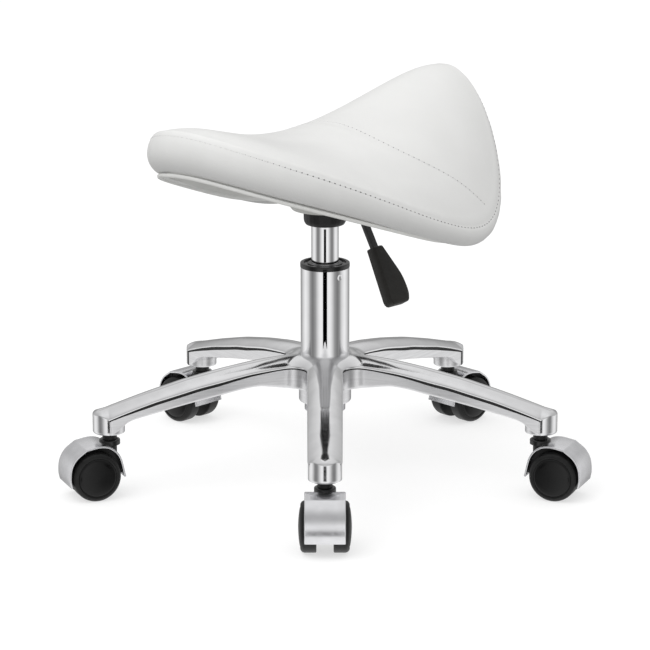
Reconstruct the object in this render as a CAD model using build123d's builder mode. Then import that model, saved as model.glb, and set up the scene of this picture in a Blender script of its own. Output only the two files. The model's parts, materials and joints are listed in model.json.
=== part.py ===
from build123d import *
from math import cos, hypot, pi, radians, sin, tan
import os

os.makedirs("parts", exist_ok=True)

# A low saddle stool on a gas lift, in millimetres.  The origin is on the floor
# under the column, +Z is up, and one of the five base arms points along -Y.

# ---------------------------------------------------------------- dimensions

# Base and column
arm_angles = {"front": -90, "left": -162, "right": -18, "back_left": 126, "back_right": 54}
stem_circle_radius = 229.1
arm_half_width = 16.4
arm_root_half_width = 17.8
arm_slab_top = 140.0
web_fillet = 18.0
tip_bottom = 65.3
boss_top = 80.0
hub_radius = 27.0
hub_bottom = 78.5
hub_top = 110.0
hub_bore_top = 138.5
tube_radius = 25.0
tube_wall = 2.0
tube_top = 219.9
collar_top = 224.9
collar_radius = 25.4
bush_bottom = 165.0
dimple_angle = -53.0
dimple_height = 213.0
dimple_ball = 6.0
dimple_depth = 0.9
collar_chamfer = 0.8
column_end = 68.0
end_cap_top = 83.0
end_cap_radius = 21.0
end_cap_chamfer = 1.5
clip_recess_radius = 17.0
clip_recess_depth = 6.0

# Gas lift
cylinder_radius = 14.0
cylinder_wall = 2.0
cylinder_bottom = 99.0
taper_start = 262.0
cylinder_top = 300.0
taper_top_radius = 12.9
rod_radius = 5.0
piston_bottom = 200.0
piston_top = 212.0
running_gap = 0.05
cylinder_floor = 14.0
cylinder_head = 12.0
shoulder_radius = 9.0
shoulder_thickness = 2.0
clip_radius = 9.0
clip_groove_radius = 4.0
clip_mouth = 6.0
clip_thickness = 1.2
clip_level = 4.8
rod_foot = 2.0
race_outer = 17.0
race_inner = 7.0
race_thickness = 2.0
ball_radius = 2.0
ball_gap = 0.02
ball_circle = 12.0
ball_count = 10
buffer_radius = 16.0
pin_radius = 3.5
pin_bottom = 293.0
pin_top = 305.0

# Casters, twin wheels under a hood
caster_headings = {"front": -90, "left": -157, "right": -23, "back_left": 137, "back_right": 43}
caster_trail = 20.5
wheel_radius = 25.0
wheel_inner_side = 8.2
wheel_hub_floor = 21.5
wheel_edge = 1.0
wheel_shoulder = [(19.8, 25.0), (22.2, 23.6), (23.4, 20.6)]
wheel_groove = [(23.4, 20.6), (23.0, 19.8), (23.7, 19.0)]
wheel_cap = [(23.7, 19.0), (25.2, 10.0), (25.75, 1.0)]
axle_radius = 2.5
axle_half_length = 21.0
hood_half_width = 19.7
hood_shrink = 0.93
hood_skirt = 10.0
frame_half_width = 7.4
neck_radius = 7.3
neck_top = 64.9
neck_foot = 12.0
neck_drill = 30.0
stem_foot = 44.0
stem_radius = 5.5
stem_top = 80.5
stem_chamfer = 1.0
sleeve_radius = 7.0
socket_top = 81.5

# Saddle seat, in its own axes: u forward, w to the sitter's left
seat_heading = -134.0
seat_front = 192.0
seat_rear = 184.0
seat_half_width = 150.0
term_length = 200.0
term_width = 150.0
ridge_terms = (364.5, -25.6, 72.9, 16.6, -36.7)
droop_terms = (62.4, -98.2, 76.5)
droop_power = 1.87
rear_corner_power = 2.45
outline_points = 24
slab_stations = (-200, -150, -100, -50, 0, 50, 100, 150, 200)
slab_widths = (-165, -130, -90, -45, 0, 45, 90, 130, 165)
cover_thickness = 2.0
foam_depth = 30.0
side_depth = 36.0
shell_depth = 36.0
pan_depth = 38.5
trim_depth = 41.0
nose_thickening = 0.19
trim_outer_inset = 8.0
trim_inner_inset = 14.0
glue_line = 0.2
seam_setback = 12.0
seam_sweep = 39.0
seam_sweep_width = 104.3
seam_power = 3.7
seam_reach = 160
seam_step = 20
behind_seat = 260.0
slab_overlap = 9.0
overcut = 60.0
cutter_inset = 4.0
root_overlap = 2.0
slab_floor = 180.0
slab_ceiling = 440.0

# Seat mechanism and release lever
plate_bottom = 314.0
plate_top = 317.0
plate_half_size = 40.0
plate_corner = 10.0
bolt_spacing = 60.0
bolt_radius = 3.0
bolt_reach = 9.5
bolt_head = 4.0
bolt_head_radius = 5.5
shell_boss_radius = 9.0
shell_boss_height = 25.0
pan_opening = 55.0
dome_bottom = 281.0
dome_foot_radius = 34.0
dome_rim_radius = 74.0
dome_rim_height = 334.0
dome_wall = 3.0
dome_slot_centre = 46.0
dome_slot_length = 36.0
dome_slot_height = 32.0
boot_bottom = 264.6
boot_corner = 3.0
boot_radius = 22.0
boot_top = 291.0
socket_radius = 19.0
socket_bottom = 268.0
socket_bore = 15.0
lever_window = 302.0
lever_height = 308.0
lever_pivot = 24.0
lever_pin_radius = 2.0
lever_eye_radius = 4.5
lever_tail = -3.0
ear_inner = 18.5
ear_outer = 31.0
ear_bottom = 300.0
ear_gap = 1.0
ear_thickness = 2.5
lever_bend = 35.8
lever_slope = 60.0
bar_width = 8.0
bar_thickness = 5.0
bar_length = 82.0
paddle_start = 65.8
paddle_half_thickness = 6.0
paddle_chamfer = 1.0
paddle_outline = [(-6.5, 0), (6.5, 0), (18.5, -35), (18.5, -53), (14, -62), (-9, -62), (-12, -58)]


# ------------------------------------------------------------------- helpers

def finish(part, name):
    """Label a finished piece and write its file."""
    part.label = name
    export_step(part, f"parts/{name}.step")


def on_circle(radius, angle):
    """A point at an angle in degrees about the column."""
    return (radius * cos(radians(angle)), radius * sin(radians(angle)))


# ---------------------------------------------------------------- star base

# Arm top and underside in the upright plane through the column, as radius and height
arm_top_line = [(25, 127.2), (63, 124), (100, 118.9), (139, 111.2), (186, 99.8), (222, 89.4), (248, 81.5)]
arm_under_line = [(248, 70), (222, 76), (186, 84.8), (139, 94), (78, 104.1), (50, 99.4), (25, 97)]

with BuildPart() as star_base:
    with BuildSketch() as star_plan:
        for angle in arm_angles.values():
            with BuildLine(Plane.XY.rotated((0, 0, angle))):
                Polyline((0, -arm_root_half_width), (stem_circle_radius, -arm_half_width),
                         (stem_circle_radius, arm_half_width), (0, arm_root_half_width), close=True)
            make_face()
            with Locations(on_circle(stem_circle_radius, angle)):
                Circle(arm_half_width)
        corners = star_plan.vertices()
        fillet([point for point in corners if hypot(point.X, point.Y) < 2 * arm_root_half_width], web_fillet)
    extrude(amount=arm_slab_top)
    with BuildSketch(Plane.XZ) as arm_section:
        with BuildLine():
            Spline(*arm_top_line)
            Line(arm_top_line[-1], arm_under_line[0])
            Spline(*arm_under_line)
            Polyline(arm_under_line[-1], (0, arm_under_line[-1][1]), (0, arm_top_line[0][1]), arm_top_line[0])
        make_face()
    revolve(axis=Axis.Z, mode=Mode.INTERSECT)
    with BuildSketch(Plane.XY.offset(hub_bottom)):
        Circle(hub_radius)
    extrude(amount=hub_top - hub_bottom)
    with BuildSketch(Plane.XY.offset(tip_bottom)):
        for angle in arm_angles.values():
            with Locations(on_circle(stem_circle_radius, angle)):
                Circle(arm_half_width)
    extrude(amount=boss_top - tip_bottom)
    with BuildSketch(Plane.XY.offset(tip_bottom)):
        for angle in arm_angles.values():
            with Locations(on_circle(stem_circle_radius, angle)):
                Circle(sleeve_radius)
    extrude(amount=socket_top - tip_bottom, mode=Mode.SUBTRACT)
    with BuildSketch(Plane.XY.offset(hub_bottom)):
        Circle(tube_radius)
    extrude(amount=hub_bore_top - hub_bottom, mode=Mode.SUBTRACT)
finish(star_base.part, "star_base")

with BuildPart() as caster_sockets:
    for angle in arm_angles.values():
        with BuildSketch(Plane.XY.offset(tip_bottom)):
            with Locations(on_circle(stem_circle_radius, angle)):
                Circle(sleeve_radius)
                Circle(stem_radius + running_gap, mode=Mode.SUBTRACT)
        extrude(amount=socket_top - tip_bottom)
finish(caster_sockets.part, "caster_sockets")


# ------------------------------------------------------------ column and lift

with BuildPart() as column_tube:
    with BuildSketch(Plane.XY.offset(hub_bottom)):
        Circle(tube_radius)
        Circle(tube_radius - tube_wall, mode=Mode.SUBTRACT)
    extrude(amount=tube_top - hub_bottom)
    dimple_x, dimple_y = on_circle(tube_radius + dimple_ball - dimple_depth, dimple_angle)
    with Locations((dimple_x, dimple_y, dimple_height)):
        Sphere(dimple_ball, mode=Mode.SUBTRACT)
finish(column_tube.part, "column_tube")

# The guide bush lines the tube's top end and ends in a collar over the rim.
with BuildPart() as guide_bush:
    with BuildSketch(Plane.XY.offset(bush_bottom)):
        Circle(tube_radius - tube_wall)
    extrude(amount=tube_top - bush_bottom)
    with BuildSketch(Plane.XY.offset(tube_top)):
        Circle(collar_radius)
    extrude(amount=collar_top - tube_top)
    chamfer(guide_bush.edges().group_by(Axis.Z)[-1], collar_chamfer)
    with BuildSketch(Plane.XY.offset(bush_bottom)):
        Circle(cylinder_radius + running_gap)
    extrude(amount=collar_top - bush_bottom, mode=Mode.SUBTRACT)
finish(guide_bush.part, "guide_bush")

# The cap closes the tube's foot, and its recess hides the rod's end and clip.
with BuildPart() as column_end_cap:
    with BuildSketch(Plane.XY.offset(column_end)):
        Circle(end_cap_radius)
    extrude(amount=hub_bottom - column_end)
    chamfer(column_end_cap.edges().group_by(Axis.Z)[0], end_cap_chamfer)
    with BuildSketch(Plane.XY.offset(hub_bottom)):
        Circle(tube_radius - tube_wall)
    extrude(amount=end_cap_top - hub_bottom)
    with BuildSketch(Plane.XY.offset(column_end)):
        Circle(clip_recess_radius)
    extrude(amount=clip_recess_depth, mode=Mode.SUBTRACT)
    with BuildSketch(Plane.XY.offset(column_end)):
        Circle(rod_radius + running_gap)
    extrude(amount=end_cap_top - column_end, mode=Mode.SUBTRACT)
finish(column_end_cap.part, "column_end_cap")

# Thrust bearing: two races with a ring of balls between them
ball_level = end_cap_top + race_thickness + ball_radius
rod_shoulder = ball_level + ball_radius + race_thickness
buffer_bottom = rod_shoulder + shoulder_thickness

with BuildPart() as bearing_races:
    for level in (end_cap_top, rod_shoulder - race_thickness):
        with BuildSketch(Plane.XY.offset(level)):
            Circle(race_outer)
            Circle(race_inner, mode=Mode.SUBTRACT)
        extrude(amount=race_thickness)
finish(bearing_races.part, "bearing_races")

with BuildPart() as bearing_balls:
    with Locations(Plane.XY.offset(ball_level)):
        with PolarLocations(ball_circle, ball_count):
            Sphere(ball_radius - ball_gap)
finish(bearing_balls.part, "bearing_balls")

# The piston rod turns on the bearing under its shoulder, held down by a clip.
clip_bottom = column_end + clip_level
with BuildPart() as piston_rod:
    with BuildSketch(Plane.XZ):
        with BuildLine():
            Polyline((0, column_end + rod_foot), (rod_radius, column_end + rod_foot),
                     (rod_radius, clip_bottom), (clip_groove_radius, clip_bottom),
                     (clip_groove_radius, clip_bottom + clip_thickness),
                     (rod_radius, clip_bottom + clip_thickness), (rod_radius, rod_shoulder),
                     (shoulder_radius, rod_shoulder), (shoulder_radius, buffer_bottom),
                     (rod_radius, buffer_bottom), (rod_radius, piston_top), (0, piston_top), close=True)
        make_face()
    revolve(axis=Axis.Z)
finish(piston_rod.part, "piston_rod")

with BuildPart() as piston:
    with BuildSketch(Plane.XY.offset(piston_bottom)):
        Circle(cylinder_radius - cylinder_wall - running_gap)
        Circle(rod_radius, mode=Mode.SUBTRACT)
    extrude(amount=piston_top - piston_bottom)
finish(piston.part, "piston")

with BuildPart() as rod_clip:
    with BuildSketch(Plane.XY.offset(clip_bottom)):
        Circle(clip_radius)
        Circle(clip_groove_radius, mode=Mode.SUBTRACT)
        with Locations((clip_radius, 0)):
            Rectangle(2 * clip_radius, clip_mouth, mode=Mode.SUBTRACT)
    extrude(amount=clip_thickness)
finish(rod_clip.part, "rod_clip")

with BuildPart() as rubber_buffer:
    with BuildSketch(Plane.XY.offset(buffer_bottom)):
        Circle(buffer_radius)
        Circle(rod_radius, mode=Mode.SUBTRACT)
    extrude(amount=cylinder_bottom - buffer_bottom)
finish(rubber_buffer.part, "rubber_buffer")

# The gas cylinder slides in the bush; its tapered head holds the seat.
with BuildPart() as gas_cylinder:
    with BuildSketch(Plane.XZ):
        with BuildLine():
            Polyline((rod_radius + running_gap, cylinder_bottom), (cylinder_radius, cylinder_bottom),
                     (cylinder_radius, taper_start), (taper_top_radius, cylinder_top),
                     (pin_radius + running_gap, cylinder_top),
                     (pin_radius + running_gap, cylinder_top - cylinder_head),
                     (cylinder_radius - cylinder_wall, cylinder_top - cylinder_head),
                     (cylinder_radius - cylinder_wall, cylinder_bottom + cylinder_floor),
                     (rod_radius + running_gap, cylinder_bottom + cylinder_floor), close=True)
        make_face()
    revolve(axis=Axis.Z)
finish(gas_cylinder.part, "gas_cylinder")

with BuildPart() as release_pin:
    with BuildSketch(Plane.XY.offset(pin_bottom)):
        Circle(pin_radius)
    extrude(amount=pin_top - pin_bottom)
finish(release_pin.part, "release_pin")


# ---------------------------------------------------------------- seat shape

def seat_top(u, w):
    """Height of the saddle's top surface."""
    s = u / term_length
    ridge = sum(term * s ** power for power, term in enumerate(ridge_terms))
    droop = sum(term * s ** power for power, term in enumerate(droop_terms))
    return ridge - droop * (abs(w) / term_width) ** droop_power


def layer_height(u, w, depth):
    """Height of a layer's surface, given its depth at mid-length; the pad is thicker at the nose."""
    return seat_top(u, w) - depth * (1 + nose_thickening * u / term_length)


def seat_outline(inset):
    """Plan outline of the seat, drawn in by the inset: an ellipse in front, squarer behind."""
    points = []
    for step in range(outline_points):
        angle = 2 * pi * step / outline_points
        length, power = (seat_front, 2.0) if cos(angle) > 0 else (seat_rear, rear_corner_power)
        spread = abs(cos(angle) / length) ** power + abs(sin(angle) / seat_half_width) ** power
        radius = spread ** (-1 / power) - inset
        points.append((radius * cos(angle), radius * sin(angle)))
    return points


def saddle_slab(upper_depth, lower_depth, inset):
    """A slab between two depths under the saddle's top surface, cut to the plan outline."""
    with BuildPart() as slab:
        for u in slab_stations:
            with BuildSketch(Plane(origin=(u, 0, 0), x_dir=(0, 1, 0), z_dir=(1, 0, 0))):
                with BuildLine():
                    upper = [(w, layer_height(u, w, upper_depth)) for w in slab_widths]
                    lower = [(w, layer_height(u, w, lower_depth)) for w in slab_widths]
                    Spline(*upper)
                    Line(upper[-1], lower[-1])
                    Spline(*lower)
                    Line(lower[0], upper[0])
                make_face()
        loft()
        with BuildSketch(Plane.XY.offset(slab_floor)):
            with BuildLine():
                Spline(*seat_outline(inset), periodic=True)
            make_face()
        extrude(amount=slab_ceiling - slab_floor, mode=Mode.INTERSECT)
    return slab.part


def finish_seat(part, name):
    """Turn a piece made in the seat's own axes to its heading and write it."""
    finish(part.rotate(Axis.Z, seat_heading), name)


# ---------------------------------------------------------------- upholstery

cover_top = saddle_slab(0, cover_thickness, 0)

# The cross seam runs level over the waist and sweeps back to the rear corners.
seam_line = []
for w in range(-seam_reach, seam_reach + 1, seam_step):
    seam_line.append((-seam_setback - seam_sweep * (abs(w) / seam_sweep_width) ** seam_power, w))

with BuildPart() as rear_region:
    with BuildSketch(Plane.XY.offset(slab_floor)):
        with BuildLine():
            Spline(*seam_line)
            Polyline(seam_line[-1], (-behind_seat, seam_reach), (-behind_seat, -seam_reach), seam_line[0])
        make_face()
    extrude(amount=slab_ceiling - slab_floor)

with BuildPart() as cover_front:
    add(cover_top)
    add(rear_region.part, mode=Mode.SUBTRACT)
finish_seat(cover_front.part, "cover_front")

with BuildPart() as cover_rear:
    add(cover_top)
    add(rear_region.part, mode=Mode.INTERSECT)
finish_seat(cover_rear.part, "cover_rear")

with BuildPart() as cover_band:
    add(saddle_slab(cover_thickness + glue_line, side_depth, 0))
    add(saddle_slab(0, side_depth + slab_overlap, cover_thickness), mode=Mode.SUBTRACT)
finish_seat(cover_band.part, "cover_band")

with BuildPart() as seat_foam:
    add(saddle_slab(cover_thickness + glue_line, side_depth, cover_thickness + glue_line))
    add(saddle_slab(foam_depth, side_depth + slab_overlap, trim_inner_inset), mode=Mode.SUBTRACT)
finish_seat(seat_foam.part, "seat_foam")

# A moulded plywood shell carries the foam, with four bosses down to the plate.
with BuildPart() as seat_shell:
    with BuildSketch(Plane.XY.offset(plate_top)):
        with GridLocations(bolt_spacing, bolt_spacing, 2, 2):
            Circle(shell_boss_radius)
    extrude(amount=shell_boss_height)
    add(saddle_slab(foam_depth - overcut, shell_depth - root_overlap, cutter_inset), mode=Mode.SUBTRACT)
    add(saddle_slab(foam_depth + glue_line, shell_depth, trim_inner_inset + glue_line))
    with BuildSketch(Plane.XY.offset(plate_top)):
        with GridLocations(bolt_spacing, bolt_spacing, 2, 2):
            Circle(bolt_radius)
    extrude(amount=bolt_reach, mode=Mode.SUBTRACT)
finish_seat(seat_shell.part, "seat_shell")

with BuildPart() as seat_trim:
    add(saddle_slab(side_depth + glue_line, trim_depth, trim_outer_inset))
    opening = saddle_slab(side_depth - root_overlap, trim_depth + root_overlap, trim_inner_inset)
    add(opening, mode=Mode.SUBTRACT)
finish_seat(seat_trim.part, "seat_trim")

with BuildPart() as seat_pan:
    add(saddle_slab(shell_depth + glue_line, pan_depth, trim_inner_inset + glue_line))
    with BuildSketch(Plane.XY.offset(slab_floor)):
        Circle(pan_opening)
    extrude(amount=slab_ceiling - slab_floor, mode=Mode.SUBTRACT)
finish_seat(seat_pan.part, "seat_pan")

# A round dome under the pan hides the plate; the boot and the lever come out of it.
with BuildPart() as mechanism_cover:
    with BuildSketch(Plane.XZ):
        with BuildLine():
            Polyline((boot_radius, dome_bottom), (dome_foot_radius, dome_bottom),
                     (dome_rim_radius, dome_rim_height), (dome_rim_radius - dome_wall, dome_rim_height),
                     (dome_foot_radius - dome_wall / 2, dome_bottom + dome_wall),
                     (boot_radius, dome_bottom + dome_wall), close=True)
        make_face()
    revolve(axis=Axis.Z)
    add(saddle_slab(pan_depth - overcut, pan_depth + glue_line, cutter_inset), mode=Mode.SUBTRACT)
    with BuildSketch(Plane.XY.offset(dome_bottom)):
        with Locations((0, dome_slot_centre)):
            Rectangle(2 * bar_width, dome_slot_length)
    extrude(amount=dome_slot_height, mode=Mode.SUBTRACT)
finish_seat(mechanism_cover.part, "mechanism_cover")


# ---------------------------------------------------------- seat mechanism

with BuildPart() as mechanism_plate:
    with BuildSketch(Plane.XY.offset(plate_bottom)):
        RectangleRounded(2 * plate_half_size, 2 * plate_half_size, plate_corner)
        with GridLocations(bolt_spacing, bolt_spacing, 2, 2):
            Circle(bolt_radius, mode=Mode.SUBTRACT)
    extrude(amount=plate_top - plate_bottom)
finish_seat(mechanism_plate.part, "mechanism_plate")

with BuildPart() as plate_bolts:
    with BuildSketch(Plane.XY.offset(plate_bottom - bolt_head)):
        with GridLocations(bolt_spacing, bolt_spacing, 2, 2):
            RegularPolygon(bolt_head_radius, 6)
    extrude(amount=bolt_head)
    with BuildSketch(Plane.XY.offset(plate_bottom)):
        with GridLocations(bolt_spacing, bolt_spacing, 2, 2):
            Circle(bolt_radius)
    extrude(amount=plate_top - plate_bottom + bolt_reach)
finish_seat(plate_bolts.part, "plate_bolts")

taper_per_mm = (cylinder_radius - taper_top_radius) / (cylinder_top - taper_start)
socket_mouth_radius = cylinder_radius - taper_per_mm * (socket_bottom - taper_start)
with BuildPart() as cone_socket:
    with BuildSketch(Plane.XZ):
        with BuildLine():
            Polyline((socket_mouth_radius, socket_bottom), (socket_radius, socket_bottom),
                     (socket_radius, plate_bottom), (socket_bore, plate_bottom), (socket_bore, cylinder_top),
                     (taper_top_radius, cylinder_top), close=True)
        make_face()
    revolve(axis=Axis.Z)
    with BuildSketch(Plane.XY.offset(lever_window)):
        with Locations((0, lever_pivot / 2)):
            Rectangle(bar_width + 2 * ear_gap, lever_pivot)
    extrude(amount=plate_bottom - lever_window, mode=Mode.SUBTRACT)
finish_seat(cone_socket.part, "cone_socket")

with BuildPart() as column_boot:
    with BuildSketch(Plane.XZ):
        with BuildLine():
            Polyline((cylinder_radius, boot_bottom), (boot_radius - boot_corner, boot_bottom),
                     (boot_radius, boot_bottom + boot_corner), (boot_radius, boot_top),
                     (socket_radius, boot_top), (socket_radius, socket_bottom),
                     (cylinder_radius, socket_bottom), close=True)
        make_face()
    revolve(axis=Axis.Z)
finish_seat(column_boot.part, "column_boot")

# Two ears under the plate carry the lever's pin across the bar.
ear_side = bar_width / 2 + ear_gap
with BuildPart() as lever_bracket:
    with BuildSketch(Plane.YZ.offset(ear_side)):
        with Locations(((ear_inner + ear_outer) / 2, (ear_bottom + plate_bottom) / 2)):
            Rectangle(ear_outer - ear_inner, plate_bottom - ear_bottom)
        with Locations((lever_pivot, lever_height)):
            Circle(lever_pin_radius, mode=Mode.SUBTRACT)
    extrude(amount=ear_thickness)
    mirror(about=Plane.YZ)
finish_seat(lever_bracket.part, "lever_bracket")

with BuildPart() as lever_pin:
    with BuildSketch(Plane.YZ.offset(-ear_side - ear_thickness - ear_gap)):
        with Locations((lever_pivot, lever_height)):
            Circle(lever_pin_radius)
    extrude(amount=2 * (ear_side + ear_thickness + ear_gap))
finish_seat(lever_pin.part, "lever_pin")

# The bar runs level over the release pin, then bends down to the paddle.
slope = radians(lever_slope)
bend_cut = bar_thickness / 2 * tan(slope / 2)
half_bar = bar_thickness / 2
bar_end = (lever_bend + bar_length * cos(slope), lever_height - bar_length * sin(slope))
with BuildPart() as lever_bar:
    with BuildSketch(Plane.YZ.offset(-bar_width / 2)):
        with BuildLine():
            Polyline((lever_tail, lever_height - half_bar), (lever_bend - bend_cut, lever_height - half_bar),
                     (bar_end[0] - half_bar * sin(slope), bar_end[1] - half_bar * cos(slope)),
                     (bar_end[0] + half_bar * sin(slope), bar_end[1] + half_bar * cos(slope)),
                     (lever_bend + bend_cut, lever_height + half_bar), (lever_tail, lever_height + half_bar),
                     close=True)
        make_face()
        with Locations((lever_pivot, lever_height)):
            Circle(lever_eye_radius)
            Circle(lever_pin_radius + running_gap, mode=Mode.SUBTRACT)
    extrude(amount=bar_width)
finish_seat(lever_bar.part, "lever_bar")

paddle_origin = (0, lever_bend + paddle_start * cos(slope), lever_height - paddle_start * sin(slope))
paddle_plane = Plane(origin=paddle_origin, x_dir=(-1, 0, 0), z_dir=(0, sin(slope), cos(slope)))
with BuildPart() as lever_paddle:
    with BuildSketch(paddle_plane.offset(-paddle_half_thickness)):
        with BuildLine():
            Polyline(*paddle_outline, close=True)
        make_face()
    extrude(amount=2 * paddle_half_thickness)
    chamfer(lever_paddle.faces().filter_by(Axis((0, 0, 0), paddle_plane.z_dir)).edges(), paddle_chamfer)
    add(lever_bar.part, mode=Mode.SUBTRACT)
finish_seat(lever_paddle.part, "lever_paddle")


# ------------------------------------------------------------------- casters

# Hood section in the caster's own axes: x ahead of the axle, z above it.
hood_front_line = [(27.2, -8.8), (28.6, 0), (27.2, 12), (21.5, 21.8), (10.7, 29.8)]
hood_rear_line = [(10.7, 29.8), (-5, 31.9), (-16.5, 28.8), (-25.8, 18.5), (-31, -2.4)]


def hood_sketch(scale, skirt=0):
    """The hood's section scaled about the axle, closed straight across or by a skirt below it."""
    front = [(x * scale + caster_trail, z * scale + wheel_radius) for x, z in hood_front_line]
    rear = [(x * scale + caster_trail, z * scale + wheel_radius) for x, z in hood_rear_line]
    floor = front[0][1] - skirt
    with BuildSketch(Plane.XZ) as section:
        with BuildLine():
            Spline(*front)
            Spline(*rear)
            if skirt:
                Polyline(rear[-1], (rear[-1][0], floor), (front[0][0], floor), front[0])
            else:
                Line(rear[-1], front[0])
        make_face()
    return section.sketch


def caster_hood():
    """The bright hood arched over both wheels, with a hole for the neck."""
    with BuildPart() as hood:
        extrude(hood_sketch(1), amount=hood_half_width, both=True)
        extrude(hood_sketch(hood_shrink, hood_skirt), amount=hood_half_width, both=True, mode=Mode.SUBTRACT)
        with BuildSketch(Plane.XY.offset(wheel_radius + neck_foot)):
            Circle(neck_radius)
        extrude(amount=neck_drill, mode=Mode.SUBTRACT)
    return hood.part


def caster_frame():
    """The plastic body between the wheels, with the neck that holds the stem."""
    with BuildPart() as frame:
        extrude(hood_sketch(hood_shrink), amount=frame_half_width, both=True)
        with BuildSketch(Plane.XY.offset(wheel_radius + neck_foot)):
            Circle(neck_radius)
        extrude(amount=neck_top - wheel_radius - neck_foot)
        with BuildSketch(Plane.XZ.offset(-frame_half_width)):
            with Locations((caster_trail, wheel_radius)):
                Circle(axle_radius)
        extrude(amount=2 * frame_half_width, mode=Mode.SUBTRACT)
        with BuildSketch(Plane.XY.offset(stem_foot)):
            Circle(stem_radius)
        extrude(amount=neck_drill, mode=Mode.SUBTRACT)
    return frame.part


def caster_stem():
    """The steel stem, pressed into the neck and turning in its socket."""
    with BuildPart() as stem:
        with BuildSketch(Plane.XY.offset(stem_foot)):
            Circle(stem_radius)
        extrude(amount=stem_top - stem_foot)
        chamfer(stem.edges().group_by(Axis.Z)[-1], stem_chamfer)
    return stem.part


def caster_axle():
    """The axle through the frame, one end for each wheel."""
    with BuildPart() as axle:
        with BuildSketch(Plane.XZ.offset(-axle_half_length)):
            with Locations((caster_trail, wheel_radius)):
                Circle(axle_radius)
        extrude(amount=2 * axle_half_length)
    return axle.part


def caster_wheel():
    """One wheel on the +Y side: a flat tread and a domed outer face with a ring groove."""
    bore = axle_radius + running_gap
    with BuildPart() as wheel:
        with BuildSketch(Plane.YZ):
            with BuildLine():
                Polyline((wheel_hub_floor, 0), (wheel_hub_floor, bore), (wheel_inner_side, bore),
                         (wheel_inner_side, wheel_radius - wheel_edge),
                         (wheel_inner_side + wheel_edge, wheel_radius), wheel_shoulder[0])
                ThreePointArc(*wheel_shoulder)
                Polyline(*wheel_groove)
                ThreePointArc(*wheel_cap)
                Polyline(wheel_cap[-1], (wheel_cap[-1][0], 0), (wheel_hub_floor, 0))
            make_face()
        revolve(axis=Axis.Y)
    return wheel.part.moved(Location((caster_trail, 0, wheel_radius)))


wheel = caster_wheel()
caster_pieces = {
    "hood": caster_hood(),
    "frame": caster_frame(),
    "stem": caster_stem(),
    "axle": caster_axle(),
    "wheel_a": wheel,
    "wheel_b": wheel.mirror(Plane.XZ),
}

for place, angle in arm_angles.items():
    x, y = on_circle(stem_circle_radius, angle)
    corner = Location((x, y, 0), (0, 0, caster_headings[place]))
    for piece, part in caster_pieces.items():
        finish(part.moved(corner), f"caster_{place}_{piece}")
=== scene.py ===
import json
from math import cos, hypot, pi, radians, sin

import bmesh
import bpy
import numpy as np
from mathutils import Matrix, Vector


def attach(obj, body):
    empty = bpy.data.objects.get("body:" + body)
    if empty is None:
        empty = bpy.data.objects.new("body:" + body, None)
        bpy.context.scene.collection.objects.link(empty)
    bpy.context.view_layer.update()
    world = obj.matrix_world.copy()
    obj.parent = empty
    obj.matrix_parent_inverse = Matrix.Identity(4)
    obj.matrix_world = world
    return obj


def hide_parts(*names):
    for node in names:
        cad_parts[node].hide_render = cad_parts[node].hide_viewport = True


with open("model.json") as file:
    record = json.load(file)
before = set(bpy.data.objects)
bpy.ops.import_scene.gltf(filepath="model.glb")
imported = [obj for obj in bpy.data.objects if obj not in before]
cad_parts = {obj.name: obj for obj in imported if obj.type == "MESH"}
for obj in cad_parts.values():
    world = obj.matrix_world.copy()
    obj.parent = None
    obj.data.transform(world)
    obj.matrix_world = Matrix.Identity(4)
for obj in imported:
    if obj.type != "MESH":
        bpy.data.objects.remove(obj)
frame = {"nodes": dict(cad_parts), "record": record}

# A white saddle stool on a chromed gas lift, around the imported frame.  Shapes are given in
# millimetres, and piece() turns them to metres.  The camera, the light, the floor and the dome
# are given in metres.

MM = 0.001
scene = bpy.context.scene
nodes = frame["nodes"]
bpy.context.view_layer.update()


# ---------------------------------------------------------------- camera and light

camera_data = bpy.data.cameras.new("camera")
camera_data.lens = 160.7
camera_data.sensor_width = 36.0
camera_data.clip_end = 60.0
camera = bpy.data.objects.new("camera", camera_data)
camera.location = (0.0, -2.880, 0.918)
camera.rotation_euler = (radians(75.22), 0.0, 0.0)
scene.collection.objects.link(camera)
scene.camera = camera
scene.view_settings.view_transform = "Standard"


def map_range(tree, value, source, target):
    """The output of a node that carries a value from one range into another."""
    node = tree.nodes.new("ShaderNodeMapRange")
    node.inputs["From Min"].default_value, node.inputs["From Max"].default_value = source
    node.inputs["To Min"].default_value, node.inputs["To Max"].default_value = target
    tree.links.new(value, node.inputs["Value"])
    return node.outputs[0]


world = bpy.data.worlds.new("studio")
scene.world = world
world.use_nodes = True
tree = world.node_tree
tree.nodes.clear()
out = tree.nodes.new("ShaderNodeOutputWorld")
sky = tree.nodes.new("ShaderNodeBackground")
coords = tree.nodes.new("ShaderNodeTexCoord")
split = tree.nodes.new("ShaderNodeSeparateXYZ")
tree.links.new(coords.outputs["Generated"], split.inputs[0])
# The world is dimmer below than overhead.
rise = map_range(tree, split.outputs["Z"], (-0.6, 1.0), (0.46, 1.12))
tree.links.new(rise, sky.inputs["Strength"])
tree.links.new(sky.outputs[0], out.inputs[0])
sky.inputs["Color"].default_value = (1.0, 1.0, 1.0, 1.0)

key = bpy.data.lights.new("softbox", "AREA")
key.shape = "RECTANGLE"
key.size = 2.4
key.size_y = 1.8
key.energy = 26.0
softbox = bpy.data.objects.new("softbox", key)
softbox.location = (-1.3, -1.2, 2.3)
softbox.rotation_euler = Vector((-1.3, -1.2, 2.0)).to_track_quat("Z", "Y").to_euler()
softbox.visible_glossy = False
scene.collection.objects.link(softbox)


# ---------------------------------------------------------------- materials

EVEN = (1, 1, 1)
GLOSS_PATCH = 3.1
BUMP_STRENGTH = 0.6


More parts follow.
